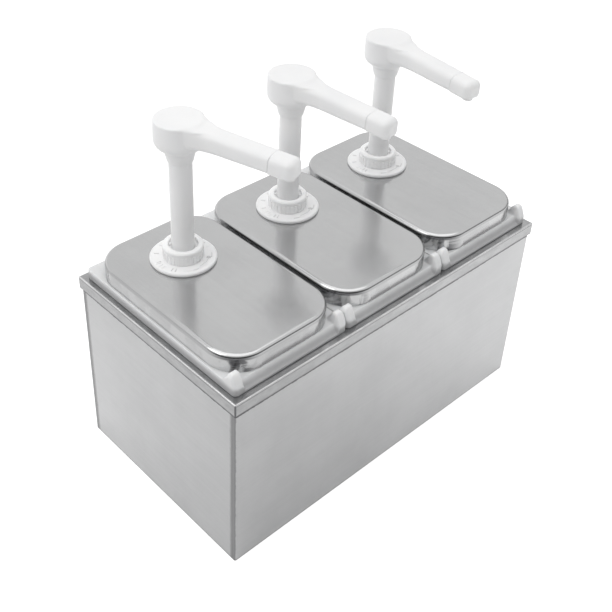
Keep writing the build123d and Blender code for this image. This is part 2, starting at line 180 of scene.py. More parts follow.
def rim_steel(name):
    """The rim band: painted highlight along its top edge, painted shade on the lip inside it, just under the top edge
    and along its foot, and dark corner joints.
    """
    mat, t, bsdf, here = material(name)
    fine = t.noise(t.mapped(here, (900, 900, 900)), 1.0, 3.0, 0.6)
    smears = t.noise(t.mapped(here, (60, 60, 140), (4, 1, 2)), 1.0, 5.0, 0.7)
    colour = t.tint(t.span(smears, 0.3, 0.7, 0.0, 1.0), (0.43, 0.432, 0.437), (0.53, 0.532, 0.536))
    x, y, z = t.add("ShaderNodeSeparateXYZ", {0: here}).outputs
    ax, ay = t.math("ABSOLUTE", x), t.math("ABSOLUTE", y)
    inside = t.math("MAXIMUM", t.math("SUBTRACT", ax, 0.1975), t.math("SUBTRACT", ay, 0.1110))
    # painted shade: the lip inside the top edge is darkened a little
    lip = t.span(inside, -0.0026, -0.0014, 0.10, 0.0)
    # painted shade: a ragged dark line just under the top edge
    under = t.math(
        "MULTIPLY", t.span(t.math("ABSOLUTE", t.math("SUBTRACT", z, 0.1927)), 0.0003, 0.0009, 0.62, 0.0),
        t.span(smears, 0.36, 0.58, 0.35, 1.0),
    )
    # painted shadow: a ragged dark line along the band's foot
    foot = t.math("MULTIPLY", t.span(z, 0.1821, 0.1836, 0.74, 0.0), t.span(smears, 0.34, 0.60, 0.45, 1.0))
    # dark joints where the band's sides meet at the corners
    corner = t.math(
        "MULTIPLY",
        t.span(t.math("ABSOLUTE", t.math("SUBTRACT", ax, 0.1975)), 0.0007, 0.0016, 0.95, 0.0),
        t.span(t.math("ABSOLUTE", t.math("SUBTRACT", ay, 0.1110)), 0.0007, 0.0016, 1.0, 0.0),
    )
    # painted shade and the dark corner joints together, mixed toward dark steel
    shade_and_joints = t.math("MAXIMUM", t.math("MAXIMUM", lip, under), t.math("MAXIMUM", foot, corner))
    colour = t.add(
        "ShaderNodeMix", {"Factor": shade_and_joints, 6: colour, 7: (0.15, 0.15, 0.155, 1.0)}, data_type="RGBA"
    ).outputs[2]
    # painted highlight: the rolled top edge is brightened in colour to stand in for a glint
    painted_glint = t.math("MULTIPLY", t.span(z, 0.1935, 0.1939, 0.0, 1.0), t.span(inside, -0.0014, -0.0009, 0.0, 1.0))
    painted_glint = t.math("MULTIPLY", painted_glint, t.span(smears, 0.34, 0.62, 1.0, 0.45))
    colour = t.add(
        "ShaderNodeMix", {"Factor": painted_glint, 6: colour, 7: (0.88, 0.88, 0.885, 1.0)}, data_type="RGBA"
    ).outputs[2]
    t.link(colour, bsdf.inputs["Base Color"])
    bsdf.inputs["Metallic"].default_value = 1.0
    t.link(t.span(smears, 0.3, 0.7, 0.17, 0.27), bsdf.inputs["Roughness"])
    bump = t.add("ShaderNodeBump", {"Strength": 0.3, "Distance": 0.00002, "Height": fine})
    t.link(bump.outputs[0], bsdf.inputs["Normal"])
    return mat


def plastic(name, dark, light, rough, sub, sub_scale, grain=2400.0, grain_height=0.000006, flow=18.0):
    """Moulded plastic: very fine spark texture, slow colour change, soft depth."""
    mat, t, bsdf, here = material(name)
    slow = t.noise(here, flow, 4.0, 0.55)
    t.link(t.tint(t.span(slow, 0.3, 0.7, 0.0, 1.0), dark, light), bsdf.inputs["Base Color"])
    fine = t.noise(here, grain, 2.0, 0.5)
    mid = t.noise(here, 240.0, 3.0, 0.5)
    t.link(
        t.span(t.math("ADD", t.math("MULTIPLY", mid, 0.6), t.math("MULTIPLY", slow, 0.4)), 0.3, 0.7, rough - 0.05, rough + 0.06),
        bsdf.inputs["Roughness"],
    )
    height = t.math("ADD", t.math("MULTIPLY", fine, 0.45), t.math("MULTIPLY", mid, 0.55))
    bump = t.add("ShaderNodeBump", {"Strength": 0.6, "Distance": grain_height, "Height": height})
    t.link(bump.outputs[0], bsdf.inputs["Normal"])
    bsdf.inputs["Subsurface Weight"].default_value = sub
    bsdf.inputs["Subsurface Radius"].default_value = (1.0, 0.95, 0.9)
    bsdf.inputs["Subsurface Scale"].default_value = sub_scale
    bsdf.inputs["IOR"].default_value = 1.49
    return mat


def milky_plastic(name):
    """Translucent container plastic, with light and shade painted into its colour by height: painted light whitens it
    where an edge stands free, painted shade greys it where it lies close over the steel and light can't get behind it."""
    mat, t, bsdf, here = material(name)
    slow = t.noise(here, 9.0, 4.0, 0.55)
    cloud = t.noise(t.mapped(here, (70, 70, 70), (3, 3, 3)), 1.0, 4.0, 0.6)
    colour = t.tint(t.span(slow, 0.3, 0.7, 0.0, 1.0), (0.75, 0.755, 0.76), (0.80, 0.805, 0.81))
    z = t.add("ShaderNodeSeparateXYZ", {0: here}).outputs[2]
    wavy = t.math("ADD", z, t.math("MULTIPLY", t.math("SUBTRACT", cloud, 0.5), 0.0022))
    # painted shade: the flange over the steel is greyed toward (0.37, 0.372, 0.378), most near its outer edge, fading
    # up to the shelf
    low = t.math("MULTIPLY", t.span(wavy, 0.1985, 0.2048, 0.80, 0.0), t.span(z, 0.1900, 0.1945, 0.0, 1.0))
    colour = t.add(
        "ShaderNodeMix", {"Factor": low, 6: colour, 7: (0.37, 0.372, 0.378, 1.0)}, data_type="RGBA"
    ).outputs[2]
    # painted light: everything above the shelf, the corner fins most, is whitened toward (0.86, 0.862, 0.866)
    free = t.span(wavy, 0.2056, 0.2150, 0.0, 0.85)
    colour = t.add(
        "ShaderNodeMix", {"Factor": free, 6: colour, 7: (0.86, 0.862, 0.866, 1.0)}, data_type="RGBA"
    ).outputs[2]
    t.link(colour, bsdf.inputs["Base Color"])
    fine = t.noise(here, 2400.0, 2.0, 0.5)
    mid = t.noise(here, 240.0, 3.0, 0.5)
    t.link(t.span(mid, 0.3, 0.7, 0.34, 0.44), bsdf.inputs["Roughness"])
    height = t.math("ADD", t.math("MULTIPLY", fine, 0.45), t.math("MULTIPLY", mid, 0.55))
    bump = t.add("ShaderNodeBump", {"Strength": 0.6, "Distance": 0.000006, "Height": height})
    t.link(bump.outputs[0], bsdf.inputs["Normal"])
    bsdf.inputs["Subsurface Weight"].default_value = 0.30
    bsdf.inputs["Subsurface Radius"].default_value = (1.0, 0.95, 0.9)
    bsdf.inputs["Subsurface Scale"].default_value = 0.004
    bsdf.inputs["IOR"].default_value = 1.5
    return mat


def lid_steel(name):
    """Bright pressed lid: fine lengthways grain and smears, with painted dark reflections on the skirt: blotches near
    the corners and a band just under the top edge.
    """
    mat, t, bsdf, here = material(name)
    fine = t.noise(t.mapped(here, (1500, 14, 1500)), 1.0, 2.0, 0.55)
    lines = t.noise(t.mapped(here, (420, 5, 420), (3.1, 1.7, 0.4)), 1.0, 4.0, 0.6)
    clouds = t.noise(here, 14.0, 5.0, 0.62)
    smears = t.noise(t.mapped(here, (31, 23, 17), (9, 2, 5)), 1.0, 6.0, 0.7)
    mixed = t.math("ADD", t.math("MULTIPLY", clouds, 0.50), t.math("MULTIPLY", smears, 0.30))
    mixed = t.math("ADD", mixed, t.math("MULTIPLY", lines, 0.20))
    colour = t.tint(t.span(mixed, 0.34, 0.66, 0.0, 1.0), (0.585, 0.587, 0.59), (0.635, 0.637, 0.64))
    x, y, z = t.add("ShaderNodeSeparateXYZ", {0: here}).outputs
    local = t.math("ABSOLUTE", t.math("WRAP", x, 0.0642, -0.0642))
    corner = t.math(
        "MULTIPLY", t.span(local, 0.030, 0.048, 0.0, 1.0), t.span(t.math("ABSOLUTE", y), 0.068, 0.088, 0.0, 1.0)
    )
    # painted reflection: dark blotches on the skirt, strongest near the corners, mixed toward (0.10, 0.10, 0.105)
    reflection_patches = t.noise(t.mapped(here, (62, 62, 26), (1, 7, 4)), 1.0, 3.0, 0.55)
    streak = t.noise(t.mapped(here, (40, 40, 300), (6, 2, 4)), 1.0, 3.0, 0.6)
    skirt = t.span(z, 0.2186, 0.2204, 1.0, 0.0)
    dark = t.math("MULTIPLY", t.span(reflection_patches, 0.44, 0.53, 0.0, 0.92), t.span(streak, 0.40, 0.55, 0.55, 1.0))
    dark = t.math("MULTIPLY", t.math("MULTIPLY", dark, skirt), t.math("MULTIPLY_ADD", corner, 0.86, 0.14))
    # painted reflection: a dark band just under the top edge's fillet, strongest at the corners
    rim = t.math("MULTIPLY", t.span(t.math("ABSOLUTE", t.math("SUBTRACT", z, 0.2186)), 0.0008, 0.0026, 0.86, 0.0), t.math("MULTIPLY_ADD", corner, 0.7, 0.3))
    dark = t.math("MAXIMUM", dark, rim)
    colour = t.add(
        "ShaderNodeMix", {"Factor": dark, 6: colour, 7: (0.10, 0.10, 0.105, 1.0)}, data_type="RGBA"
    ).outputs[2]
    t.link(colour, bsdf.inputs["Base Color"])
    bsdf.inputs["Metallic"].default_value = 1.0
    wear = t.math("ADD", t.math("MULTIPLY", smears, 0.6), t.math("MULTIPLY", fine, 0.4))
    t.link(t.span(wear, 0.3, 0.7, 0.125, 0.185), bsdf.inputs["Roughness"])
    height = t.math("ADD", t.math("MULTIPLY", fine, 0.5), t.math("MULTIPLY", lines, 0.5))
    bump = t.add("ShaderNodeBump", {"Strength": 0.20, "Distance": 0.00002, "Height": height})
    t.link(bump.outputs[0], bsdf.inputs["Normal"])
    return mat


def spring_wire(name):
    mat, t, bsdf, here = material(name)
    fine = t.noise(t.mapped(here, (900, 900, 2600)), 1.0, 3.0, 0.6)
    t.link(t.tint(fine, (0.30, 0.30, 0.31), (0.62, 0.62, 0.63)), bsdf.inputs["Base Color"])
    bsdf.inputs["Metallic"].default_value = 1.0
    t.link(t.span(fine, 0.3, 0.7, 0.2, 0.34), bsdf.inputs["Roughness"])
    bump = t.add("ShaderNodeBump", {"Strength": 0.4, "Distance": 0.00001, "Height": fine})
    t.link(bump.outputs[0], bsdf.inputs["Normal"])
    return mat


MATS = {
    "steel_x": sheet_steel(
        "housing_steel_x", 0, (0.545, 0.547, 0.552), (0.615, 0.617, 0.621), 0.33, 0.05, 0.30, dents=0.0012,
        # the lines listed here are painted shade: corner folds, the rim band's foot and the bottom edge
        shade_lines_at=((0, 0.1958, 0.0013, 0.55), (2, 0.1797, 0.0019, 0.90), (2, 0.0, 0.0014, 0.5)),
    ),
    "steel_y": sheet_steel(
        "housing_steel_y", 1, (0.545, 0.547, 0.552), (0.615, 0.617, 0.621), 0.33, 0.05, 0.30, dents=0.0012,
        # the lines listed here are painted shade: corner folds, the rim band's foot and the bottom edge
        shade_lines_at=((1, 0.1093, 0.0020, 0.75), (1, 0.1030, 0.0009, 0.35), (2, 0.1797, 0.0019, 0.90), (2, 0.0, 0.0014, 0.5)),
    ),
    "rim": rim_steel("rim_steel"),
    "lid": lid_steel("lid_steel"),
    "white": plastic("pump_white", (0.86, 0.862, 0.868), (0.90, 0.90, 0.90), 0.33, 0.12, 0.0015),
    # painted light: the collar is the pump's white plastic, set brighter to stand in for light on its shaded sides
    "collar": plastic("collar_white_painted_light", (0.97, 0.972, 0.974), (0.985, 0.985, 0.985), 0.44, 0.25, 0.003),
    # painted shade: the raised marks are the disc's white plastic, set darker to stand in for the shade round their
    # relief
    "marks": plastic("mark_white_painted_shade", (0.70, 0.702, 0.708), (0.76, 0.76, 0.762), 0.42, 0.05, 0.001),
    "milky": milky_plastic("container_milky"),
    "seal": plastic("gasket_grey", (0.78, 0.783, 0.787), (0.83, 0.833, 0.836), 0.55, 0.0, 0.001, grain=1600.0, grain_height=0.00002),
    "spring": spring_wire("spring_wire"),
}


def dress(obj, mat):
    obj.data.materials.clear()
    obj.data.materials.append(mat)


BY_PREFIX = {
    "front_panel": "steel_x", "rear_panel": "steel_x", "left_panel": "steel_y", "right_panel": "steel_y",
    "bottom_panel": "steel_x", "rim_frame": "rim", "lid_gasket": "seal", "lid_nut": "white", "lid": "lid",
    "container": "milky", "pump_barrel": "white", "collar_nut": "collar", "guide_bush": "white",
    "foot_valve": "white", "dip_tube": "milky", "return_spring": "spring", "piston_ring": "seal",
    "piston_rod": "white", "piston": "white", "inlet_ball": "spring", "outlet_ball": "spring",
    "spout_head": "white", "spout_tip": "white",
}
for name, obj in NODES.items():
    key = max((k for k in BY_PREFIX if name.startswith(k)), key=len)
    mat = MATS[BY_PREFIX[key]]
    for i in range(max(1, len(obj.data.materials))):
        if i < len(obj.data.materials):
            obj.data.materials[i] = mat
        else:
            obj.data.materials.append(mat)


# ------------------------------------------------------------------ containers
C0 = np.array([31.3, 66.9])     # corner rays start here, the shoulder's corner centre


def ray_set():
    """Rays round the outline: (origin, direction) in one quarter, then mirrored."""
    quarter = []
    for y in (0.0, 22.0, 44.0):
        quarter.append(((C0[0], y), (1.0, 0.0)))
    for deg in list(np.arange(0, 24, 4.0)) + list(np.arange(24, 78, 1.0)) + list(np.arange(78, 90.1, 3.0)):
        a = math.radians(deg)
        quarter.append(((C0[0], C0[1]), (math.cos(a), math.sin(a))))
    for x in (15.5, 0.0):
        quarter.append(((x, C0[1]), (0.0, 1.0)))
    rays = []
    q1 = quarter
    q2 = [((-o[0], o[1]), (-d[0], d[1])) for o, d in reversed(quarter)]
    q3 = [((-o[0], -o[1]), (-d[0], -d[1])) for o, d in quarter]
    q4 = [((o[0], -o[1]), (d[0], -d[1])) for o, d in reversed(quarter)]
    for part in (q1, q2, q3, q4):
        for ray in part:
            if rays and np.allclose(ray[0], rays[-1][0], atol=1e-9) and np.allclose(ray[1], rays[-1][1], atol=1e-9):
                continue
            rays.append(ray)
    first = rays[0]
    if np.allclose(first[0], rays[-1][0], atol=1e-9) and np.allclose(first[1], rays[-1][1], atol=1e-9):
        rays.pop()
    return rays


RAYS = ray_set()


def outline(wide, deep, radius):
    """Where each ray meets a rounded rectangle, as an array of points."""
    hx, hy, r = wide / 2, deep / 2, radius
    points = []
    for (ox, oy), (dx, dy) in RAYS:
        sx, sy = (1 if dx >= 0 else -1), (1 if dy >= 0 else -1)
        best = None
        if abs(dx) > 1e-9:
            s = (sx * hx - ox) / dx
            y = oy + s * dy
            if abs(y) <= hy - r + 1e-9:
                best = s
        if best is None and abs(dy) > 1e-9:
            s = (sy * hy - oy) / dy
            x = ox + s * dx
            if abs(x) <= hx - r + 1e-9:
                best = s
        if best is None:
            cx, cy = sx * (hx - r), sy * (hy - r)
            if abs(dx) < 1e-9:
                cx = math.copysign(hx - r, ox if ox else 1)
            if abs(dy) < 1e-9:
                cy = math.copysign(hy - r, oy if oy else 1)
            fx, fy = ox - cx, oy - cy
            b = fx * dx + fy * dy
            c = fx * fx + fy * fy - r * r
            best = -b + math.sqrt(max(0.0, b * b - c))
        points.append((ox + best * dx, oy + best * dy))
    return np.array(points)


def smooth(q):
    q = np.clip(q, 0, 1)
    return q * q * (3 - 2 * q)


EAR_TOP = 213.9


def flange_height(xy, off_lid):
    """Height of the flange's upper face: flat shelf at the sides and rear, a hollow cove along the
    front, and a fin at each front corner. off_lid is how far a point is outside the lid's skirt."""
    x, y = np.abs(xy[:, 0]), xy[:, 1]
    s = np.clip((-98.9 - y) / 5.6, 0, 1)
    base = np.where(s > 0, 197.0 + 7.5 * (1 - s) ** 2.0, 204.5)
    u, v = x - 58.6, y + 97.2
    fx = np.where(u < 0, 1 - smooth((-u - 3.8) / 2.8), 1 - 0.62 * smooth((u - 1.8) / 5.6))
    fy = np.where(v > 0, 1 - smooth((v - 1.6) / 7.8), 1 - 0.66 * smooth((-v - 0.8) / 6.6))
    p = fx * fy * smooth(off_lid / 2.2)
    return base + (EAR_TOP - base) * p


def ring_mesh(name, rings, closed_bottom, closed_inside):
    """Joins rings of points into one closed surface; first and last rings are capped with a centre point."""
    verts, faces = [], []
    n = len(rings[0])
    for ring in rings:
        verts.extend(ring.tolist())
    for k in range(len(rings) - 1):
        a, b = k * n, (k + 1) * n
        for i in range(n):
            j = (i + 1) % n
            faces.append((a + i, a + j, b + j, b + i))
    centre_first = len(verts)
    verts.append(closed_bottom)
    centre_last = len(verts)
    verts.append(closed_inside)
    last = (len(rings) - 1) * n
    for i in range(n):
        j = (i + 1) % n
        faces.append((centre_first, j, i))
        faces.append((centre_last, last + i, last + j))
    mesh = bpy.data.meshes.new(name)
    mesh.from_pydata([tuple(c * MM for c in v) for v in verts], [], faces)
    mesh.update()
    bm = bmesh.new()
    bm.from_mesh(mesh)
    bmesh.ops.recalc_face_normals(bm, faces=bm.faces)
    bm.to_mesh(mesh)
    bm.free()
    return mesh


def put(name, mesh, mat, body, replaced, angle=None):
    obj = bpy.data.objects.new(name, mesh)
    bpy.context.scene.collection.objects.link(obj)
    mesh.materials.append(mat)
    mesh.shade_smooth()
    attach(obj, body)
    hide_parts(replaced)
    return obj


def level(xy, z, xc):
    z = np.full(len(xy), float(z)) if np.isscalar(z) else z
    return np.column_stack([xy[:, 0] + xc, xy[:, 1], z])


def container_mesh(index, xc):
    rings = []
    tan = math.tan(math.radians(1.0))

    def wall(z, inset):
        """Tapered wall outline at height z, moved in by inset."""
        drop = max(0.0, (197.6 - z)) * tan + inset
        return outline(115.0 - 2 * drop, 192.4 - 2 * drop, max(4.0, 27.0 - drop))

    # underside, centre outwards, then the rounded foot and the wall
    foot_r = 8.0
    for f in (0.25, 0.55, 0.8, 0.93):
        xy = wall(20.0, foot_r)
        rings.append(level(xy * f, 20.0, xc))
    for a in np.linspace(0, 90, 9):
        t = math.radians(a)
        z = 20.0 + foot_r * (1 - math.cos(t))
        rings.append(level(wall(z, foot_r * (1 - math.sin(t))), z, xc))
    for z in (40, 70, 100, 130, 160, 180, 190, 193.6):
        rings.append(level(wall(z, 0.0), z, xc))
    edge = outline(127.4, 209.0, 4.0)
    shoulder = outline(124.6, 197.8, 32.4)
    w = wall(194.6, 0.0)
    rings.append(level(w + (edge - w) * 0.05, 194.6, xc))
    rings.append(level(w + (edge - w) * 0.5, 194.6, xc))
    unit = (edge - shoulder) / np.maximum(1e-9, np.linalg.norm(edge - shoulder, axis=1))[:, None]
    length = np.linalg.norm(edge - shoulder, axis=1)
    small = np.minimum(0.35, length * 0.3)
    rings.append(level(edge - unit * (small * 1.0)[:, None], 194.6, xc))
    rings.append(level(edge - unit * (small * 0.3)[:, None], 194.75, xc))
    rings.append(level(edge, 195.1, xc))
    top0 = flange_height(edge, length)
    for f in (0.12, 0.3, 0.5, 0.7, 0.86):
        rings.append(level(edge, 195.1 + (top0 - 0.75 - 195.1) * f, xc))
    # rounded lip of the flange, then the upper face up to the shoulder
    for a in (0, 22, 45, 68, 90):
        t = math.radians(a)
        inset = np.minimum(0.75, length * 0.45) * (1 - math.cos(t))
        xy = edge - unit * inset[:, None]
        rings.append(level(xy, flange_height(xy, length - inset) - 0.75 * (1 - math.sin(t)), xc))
    start = np.minimum(0.75, length * 0.45)
    for f in np.linspace(0, 1, 25)[1:]:
        xy = edge - unit * (start + (length - start) * f)[:, None]
        rings.append(level(xy, flange_height(xy, (length - start) * (1 - f)), xc))
    neck = outline(120.4, 194.8, 30.2)
    for f in (0.3, 0.75):
        rings.append(level(shoulder + (neck - shoulder) * f, 204.5, xc))
    rings.append(level(outline(120.8, 195.2, 30.4), 204.55, xc))
    rings.append(level(neck, 204.95, xc))
    for z in (207.5, 210.0, 212.2):
        rings.append(level(neck, z, xc))
    inner = outline(115.4, 189.8, 27.7)
    for f, z in ((0.06, 212.7), (0.22, 213.0), (0.78, 213.0), (0.94, 212.7), (1.0, 212.2)):
        rings.append(level(neck + (inner - neck) * f, z, xc))
    for z in (209.0, 203.0, 199.0):
        rings.append(level(inner, z, xc))
    rings.append(level(outline(115.0, 189.4, 27.5), 198.0, xc))
    rings.append(level(outline(114.2, 188.8, 27.2), 197.6, xc))

    def inside(z, inset):
        drop = max(0.0, (197.6 - z)) * tan + inset
        return outline(110.0 - 2 * drop, 187.4 - 2 * drop, max(3.0, 24.5 - drop))

    rings.append(level(inside(197.5, -0.3), 197.5, xc))
    for z in (196.6, 190, 170, 140, 110, 80, 50, 32):
        rings.append(level(inside(z, 0.0), z, xc))
    for a in np.linspace(90, 0, 9):
        t = math.radians(a)
        z = 22.5 + 6.0 * (1 - math.cos(t))
        rings.append(level(inside(z, 6.0 * (1 - math.sin(t))), z, xc))
    for f in (0.9, 0.6, 0.25):
        rings.append(level(inside(22.5, 6.0) * f, 22.5, xc))
    return ring_mesh(f"container_shell_{index}", rings, (xc, 0, 20.0), (xc, 0, 22.5))


for i, xc in enumerate(CELLS, 1):
    put(
        f"container_shell_{i}", container_mesh(i, xc), MATS["milky"], f"tub_{i}",
        f"container_{i}",
    )


# ------------------------------------------------------------------ pump heads
HEAD_TOP, SEAM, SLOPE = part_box("spout_head_1")[1][2] * 1000, 92.4, math.radians(2.3)


def frame_of(i):
    """The arm's own directions: ahead, across, and the pump's axis point at the head's top."""
    a = math.radians(ANGLES[i - 1])
    return (
        np.array([math.sin(a), -math.cos(a), 0.0]),
        np.array([math.cos(a), math.sin(a), 0.0]),
        np.array([CELLS[i - 1], PUMP_Y, HEAD_TOP]),
    )


def saddle(i):
    """A lens of plastic that fills the step between the head's flat top and the arm's top."""
    ahead, across, top = frame_of(i)
    verts, faces = [], []
    stations = [(2.0, 18.0), (8.0, 18.0), (14.0, 16.8), (19.0, 14.8), (24.0, 12.4), (30.0, 9.8), (36.0, 7.4), (44.0, 5.4)]
    for s, half in stations:
        line = -s * math.tan(SLOPE) if s > 24 else -0.06 - 0.9 * smooth(np.array((s - 6.0) / 20.0))
        for w, z in ((-half, -5.0), (-half, line - 0.9), (-half * 0.86, line), (half * 0.86, line), (half, line - 0.9), (half, -5.0)):
            verts.append((top + ahead * s + across * w + np.array([0, 0, z])) * MM)
    n = len(stations)
    for k in range(n - 1):
        for j in range(6):
            a, b = k * 6 + j, k * 6 + (j + 1) % 6
            faces.append((a, b, b + 6, a + 6))
    faces.append(tuple(range(6)))
    faces.append(tuple(reversed(range((n - 1) * 6, n * 6))))
    return [tuple(v) for v in verts], faces


def melted(node, name, voxel, passes, extra=None, keep=None, soft=None):
    """A copy of a CAD node's mesh with its joins softened as in a moulding: remeshed evenly, then
    relaxed without shrinking. keep gives each point's freedom to move, from 0 to 1, and soft where
    plain averaging rounds a join further."""
    bm = bmesh.new()
    bm.from_mesh(NODES[node].data)
    if extra:
        new = [bm.verts.new(v) for v in extra[0]]
        for f in extra[1]:
            bm.faces.new([new[k] for k in f])
        bmesh.ops.recalc_face_normals(bm, faces=bm.faces)
    mesh = bpy.data.meshes.new(name)
    bm.to_mesh(mesh)
    bm.free()
    obj = bpy.data.objects.new(name, mesh)
    bpy.context.scene.collection.objects.link(obj)
    mod = obj.modifiers.new("remesh", "REMESH")
    mod.mode = "VOXEL"
    mod.voxel_size = voxel
    graph = bpy.context.evaluated_depsgraph_get()
    done = bpy.data.meshes.new_from_object(obj.evaluated_get(graph))
    bpy.data.objects.remove(obj)
    done.name = name
    done.materials.clear()
    n = len(done.vertices)
    co = np.zeros(n * 3)
    done.vertices.foreach_get("co", co)
    co = co.reshape(-1, 3)
    pair = np.zeros(len(done.edges) * 2, int)
    done.edges.foreach_get("vertices", pair)
    a, b = pair.reshape(-1, 2).T
    count = np.maximum(1, np.bincount(a, minlength=n) + np.bincount(b, minlength=n))[:, None]
    free = np.ones((n, 1)) if keep is None else keep(co)[:, None]
    for _ in range(passes):
        for step in (0.55, -0.565):
            total = np.zeros_like(co)
            for axis in range(3):
                total[:, axis] = np.bincount(a, co[b, axis], n) + np.bincount(b, co[a, axis], n)
            co = co + step * free * (total / count - co)
    if soft is not None:
        where = soft(co)[:, None] * 0.6
        for _ in range(36):
            total = np.zeros_like(co)
            for axis in range(3):
                total[:, axis] = np.bincount(a, co[b, axis], n) + np.bincount(b, co[a, axis], n)
            co = co + where * (total / count - co)
    co[:, 2] = np.minimum(co[:, 2], HEAD_TOP * MM)
    done.vertices.foreach_set("co", co.ravel())
    done.update()
    return done


def near_seam(i):
    ahead, _, top = frame_of(i)

    def freedom(co):
        s = (co / MM - top) @ ahead
        return smooth((np.abs(s - SEAM) - 0.5) / 1.6)

    return freedom


def disc_joint(i):
    """Where the arm leaves the disc: round the disc's edge, ahead of the axis, near the top."""
    ahead, across, top = frame_of(i)

    def weight(co):
        p = co / MM - top
        s, w = p @ ahead, p @ across
        r = np.hypot(s, w)
        return smooth((s - 10.0) / 5.0) * smooth((5.0 - np.abs(r - 23.0)) / 3.0) * smooth((p[:, 2] + 15.5) / 3.0)

    return weight


for i in (1, 2, 3):
    put(
        f"pump_head_{i}", melted(f"spout_head_{i}", f"pump_head_{i}", 0.0005, 16, saddle(i), near_seam(i), disc_joint(i)), MATS["white"],
        f"spout_{i}", f"spout_head_{i}",
    )
    put(
        f"pump_nozzle_{i}", melted(f"spout_tip_{i}", f"pump_nozzle_{i}", 0.00038, 8, None, near_seam(i)), MATS["white"],
        f"spout_{i}", f"spout_tip_{i}",
    )


# ------------------------------------------------------------------ gasket under each disc
def gasket_ring(i):
    """A soft gasket squeezed out to just under the disc's edge, with a round outer lip."""
    cx, cy = CELLS[i - 1], PUMP_Y
    section = [(19.0, 222.02), (26.0, 222.02), (29.8, 222.02), (30.12, 222.1), (30.25, 222.31), (30.12, 222.52), (29.8, 222.6), (26.0, 222.6), (19.0, 222.6)]
    n, m = 120, 9
    verts, faces = [], []
    for k in range(n):
        t = 2 * math.pi * k / n
        for r, z in section:
            verts.append(((cx + r * math.cos(t)) * MM, (cy + r * math.sin(t)) * MM, z * MM))
    for k in range(n):
        for j in range(m):
            a, b = k * m + j, k * m + (j + 1) % m
            c, d = ((k + 1) % n) * m + (j + 1) % m, ((k + 1) % n) * m + j
            faces.append((a, d, c, b))
    mesh = bpy.data.meshes.new(f"gasket_ring_{i}")
    mesh.from_pydata(verts, [], faces)
    bm = bmesh.new()
    bm.from_mesh(mesh)
    bmesh.ops.recalc_face_normals(bm, faces=bm.faces)
    bm.to_mesh(mesh)
    bm.free()
    put(f"gasket_ring_{i}", mesh, MATS["seal"], f"lid_pump_{i}", f"lid_gasket_{i}")


for i in (1, 2, 3):
    gasket_ring(i)


# ------------------------------------------------------------------ return springs
SPRING_LOW, SPRING_HIGH, STROKE = 95.1, 183.9, 60.0


def spring_coil(i):
    """Round-wire spring with a closed turn at each end."""
    lo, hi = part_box(f"return_spring_{i}")
    cx, cy = (lo[0] + hi[0]) / 2 / MM, (lo[1] + hi[1]) / 2 / MM
    wire, mean_r, turns, around, per_turn = 0.8, 10.3, 9.0, 12, 48
    z0, z1 = SPRING_LOW + wire, SPRING_HIGH - wire
    closed = 1.72
    count = int(turns * per_turn)
    verts, faces = [], []
    for k in range(count + 1):
        turn = k / per_turn
        if turn < 1.0:
            z, rise = z0 + closed * turn, closed
        elif turn > turns - 1.0:
            z, rise = z1 - closed * (turns - turn), closed
        else:
            rise = (z1 - z0 - 2 * closed) / (turns - 2.0)
            z = z0 + closed + rise * (turn - 1.0)
        a = 2 * math.pi * turn
        out_way = np.array([math.cos(a), math.sin(a), 0.0])
        run = np.array([-math.sin(a), math.cos(a), rise / (2 * math.pi * mean_r)])
        up_way = np.cross(out_way, run / np.linalg.norm(run))
        middle = np.array([cx + mean_r * math.cos(a), cy + mean_r * math.sin(a), z])
        for m in range(around):
            b = 2 * math.pi * m / around
            verts.append(tuple((middle + wire * (math.cos(b) * out_way + math.sin(b) * up_way)) * MM))
    for k in range(count):
        for m in range(around):
            a, b = k * around + m, k * around + (m + 1) % around
            faces.append((a, b, b + around, a + around))
    faces.append(tuple(range(around))[::-1])
    faces.append(tuple(range(count * around, (count + 1) * around)))
    mesh = bpy.data.meshes.new(f"spring_coil_{i}")
    mesh.from_pydata(verts, [], faces)
    bm = bmesh.new()
    bm.from_mesh(mesh)
    bmesh.ops.recalc_face_normals(bm, faces=bm.faces)
    bm.to_mesh(mesh)
    bm.free()
    obj = put(f"spring_coil_{i}", mesh, MATS["spring"], f"lid_pump_{i}", f"return_spring_{i}")
    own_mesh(obj)


for i in (1, 2, 3):
    spring_coil(i)


# ------------------------------------------------------------------ raised marks on the pump's disc
def bar_along(points, wide, high, z0):
    """A low rounded bar that follows points in plan: closed, with bevelled shoulders."""
    section = [(-0.5, 0.0), (-0.5, 0.55), (-0.28, 1.0), (0.28, 1.0), (0.5, 0.55), (0.5, 0.0)]
    pts = np.array(points, float)
    run = np.gradient(pts, axis=0)
    run /= np.maximum(1e-9, np.linalg.norm(run, axis=1))[:, None]
    side = np.column_stack([-run[:, 1], run[:, 0]])
    verts, faces = [], []
    for p, q in zip(pts, side):
        for w, h in section:
            verts.append((p[0] + q[0] * w * wide, p[1] + q[1] * w * wide, z0 + h * high))
    m = len(section)
    for k in range(len(pts) - 1):
        for j in range(m):
            a, b = k * m + j, k * m + (j + 1) % m
            faces.append((a, b, b + m, a + m))
    faces.append(tuple(range(m)))
    faces.append(tuple(reversed(range((len(pts) - 1) * m, len(pts) * m))))
    return verts, faces


